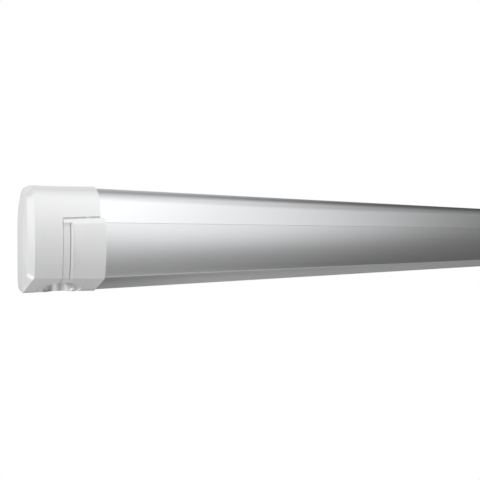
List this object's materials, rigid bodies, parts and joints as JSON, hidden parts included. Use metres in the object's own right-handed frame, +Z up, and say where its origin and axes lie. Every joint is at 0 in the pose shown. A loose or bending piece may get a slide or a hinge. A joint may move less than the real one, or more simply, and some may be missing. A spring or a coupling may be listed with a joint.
{
  "type": "roll-out cassette awning",
  "caption": "Wall-mounted cassette awning shown closed: aluminium housing and lead rail, white end caps, folding arms, fold-down legs, crank drive and rolled fabric.",
  "frame": {"origin": "centre of the middle wall bracket's back face, on the wall plane at the cassette's mid height", "axes": "+X along the cassette to the right as seen from the front, +Y into the wall, +Z up; the front faces -Y"},
  "size_m": [2.6, 0.1023, 0.1306],
  "materials": {
    "aluminium": "satin natural anodised",
    "white_plastic": "fine satin moulding",
    "white_coat": "satin powder coat",
    "cast_grey": "die cast",
    "steel": "zinc plated",
    "black_plastic": "fine texture",
    "black_rubber": "matt",
    "grey_fabric": "coated awning cloth",
    "brass": "machined"
  },
  "bodies": {
    "cassette": {"cassette_housing": "aluminium", "wall_seal": "black_rubber", "wall_brackets": "aluminium", "bracket_lock_screws": "steel", "end_plate_left": "cast_grey", "end_plate_right": "cast_grey", "end_plate_screws": "steel", "end_cap_left": "white_plastic", "end_cap_right": "white_plastic", "gearbox_housing": "cast_grey", "gearbox_cover": "cast_grey", "gearbox_screws": "steel", "crank_guide": "white_plastic", "roller_bushes": "white_plastic", "shoulder_bracket_left": "cast_grey", "shoulder_bracket_right": "cast_grey", "shoulder_bolts": "steel", "shoulder_pins": "steel"},
    "roller": {"roller_tube": "aluminium", "roller_plug_left": "black_plastic", "roller_plug_right": "black_plastic", "fabric_roll": "grey_fabric", "worm_wheel": "brass"},
    "crank": {"worm_shaft": "steel", "crank_eye": "steel"},
    "upper_arm_left": {"shoulder_knuckle_left": "cast_grey", "upper_arm_left": "white_coat", "arm_spring_left": "steel", "elbow_fork_left": "cast_grey", "elbow_pin_left": "steel"},
    "forearm_left": {"elbow_tongue_left": "cast_grey", "forearm_left": "white_coat", "wrist_knuckle_left": "cast_grey"},
    "upper_arm_right": {"shoulder_knuckle_right": "cast_grey", "upper_arm_right": "white_coat", "arm_spring_right": "steel", "elbow_fork_right": "cast_grey", "elbow_pin_right": "steel"},
    "forearm_right": {"elbow_tongue_right": "cast_grey", "forearm_right": "white_coat", "wrist_knuckle_right": "cast_grey"},
    "lead_rail": {"lead_rail": "aluminium", "rail_cap_left": "white_plastic", "rail_cap_right": "white_plastic", "rail_cap_screws": "steel", "wrist_brackets": "cast_grey", "wrist_pins": "steel", "leg_pivots": "cast_grey", "fabric_keder": "grey_fabric"},
    "fabric": {"fabric_sheet": "grey_fabric"},
    "leg_left": {"leg_tube_left": "aluminium", "leg_collar_left": "black_plastic"},
    "leg_lever_left": {"leg_lever_left": "black_plastic"},
    "leg_slide_left": {"leg_inner_left": "aluminium"},
    "leg_foot_left": {"leg_foot_left": "black_plastic"},
    "leg_right": {"leg_tube_right": "aluminium", "leg_collar_right": "black_plastic"},
    "leg_lever_right": {"leg_lever_right": "black_plastic"},
    "leg_slide_right": {"leg_inner_right": "aluminium"},
    "leg_foot_right": {"leg_foot_right": "black_plastic"}
  },
  "joints": [
    {"name": "shoulder_left", "type": "hinge", "parent": "cassette", "child": "upper_arm_left", "pos_m": [-1.17, -0.028, -0.019], "axis": [0, 0.0872, -0.9962], "range_deg": [0, 78]},
    {"name": "elbow_left", "type": "hinge", "parent": "upper_arm_left", "child": "forearm_left", "pos_m": [-0.14, -0.04494, -0.02048], "axis": [0, -0.0872, 0.9962], "range_deg": [0, 156]},
    {"name": "wrist_left", "type": "hinge", "parent": "forearm_left", "child": "lead_rail", "pos_m": [-1.17, -0.06187, -0.02196], "axis": [0, 0.0872, -0.9962], "range_deg": [0, 78]},
    {"name": "shoulder_right", "type": "hinge", "parent": "cassette", "child": "upper_arm_right", "pos_m": [1.17, -0.028, -0.019], "axis": [0, -0.0872, 0.9962], "range_deg": [0, 78]},
    {"name": "elbow_right", "type": "hinge", "parent": "upper_arm_right", "child": "forearm_right", "pos_m": [0.14, -0.04494, -0.02048], "axis": [0, 0.0872, -0.9962], "range_deg": [0, 156]},
    {"name": "roller_spin", "type": "hinge", "parent": "cassette", "child": "roller", "pos_m": [0, -0.041, 0.031], "axis": [-1, 0, 0], "range_deg": [0, 4612]},
    {"name": "crank_spin", "type": "hinge", "parent": "cassette", "child": "crank", "pos_m": [-1.2555, -0.0644, 0], "axis": [0, 0, -1], "range_deg": [0, 64563]},
    {"name": "fabric_draw", "type": "slide", "parent": "cassette", "child": "fabric", "axis": [0, -0.9962, -0.0872], "range_m": [0, 1.9886], "deforming": ["fabric_sheet"]},
    {"name": "leg_swing_left", "type": "hinge", "parent": "lead_rail", "child": "leg_left", "pos_m": [-1.188, -0.0439, -0.0492], "axis": [0, 1, 0], "range_deg": [0, 90]},
    {"name": "leg_extend_left", "type": "slide", "parent": "leg_left", "child": "leg_slide_left", "axis": [1, 0, 0], "range_m": [0, 0.95]},
    {"name": "leg_clamp_left", "type": "hinge", "parent": "leg_left", "child": "leg_lever_left", "pos_m": [-0.066, -0.0439, -0.0601], "axis": [0, -1, 0], "range_deg": [0, 80]},
    {"name": "foot_tilt_left", "type": "hinge", "parent": "leg_slide_left", "child": "leg_foot_left", "pos_m": [-0.044, -0.0439, -0.0492], "axis": [0, 1, 0], "range_deg": [-15, 15]},
    {"name": "leg_swing_right", "type": "hinge", "parent": "lead_rail", "child": "leg_right", "pos_m": [1.188, -0.0261, -0.0492], "axis": [0, -1, 0], "range_deg": [0, 90]},
    {"name": "leg_extend_right", "type": "slide", "parent": "leg_right", "child": "leg_slide_right", "axis": [-1, 0, 0], "range_m": [0, 0.95]},
    {"name": "leg_clamp_right", "type": "hinge", "parent": "leg_right", "child": "leg_lever_right", "pos_m": [0.066, -0.0261, -0.0601], "axis": [0, 1, 0], "range_deg": [0, 80]},
    {"name": "foot_tilt_right", "type": "hinge", "parent": "leg_slide_right", "child": "leg_foot_right", "pos_m": [0.044, -0.0261, -0.0492], "axis": [0, -1, 0], "range_deg": [-15, 15]}
  ],
  "couplings": [
    {"joint": "elbow_left", "follows": "shoulder_left", "ratio": 2},
    {"joint": "wrist_left", "follows": "shoulder_left", "ratio": 1},
    {"joint": "shoulder_right", "follows": "shoulder_left", "ratio": 1},
    {"joint": "elbow_right", "follows": "shoulder_left", "ratio": 2},
    {"joint": "roller_spin", "follows": "shoulder_left", "ratio": 59.123},
    {"joint": "crank_spin", "follows": "shoulder_left", "ratio": 827.72},
    {"joint": "fabric_draw", "follows": "shoulder_left", "m_per_rad": 1.4603}
  ]
}
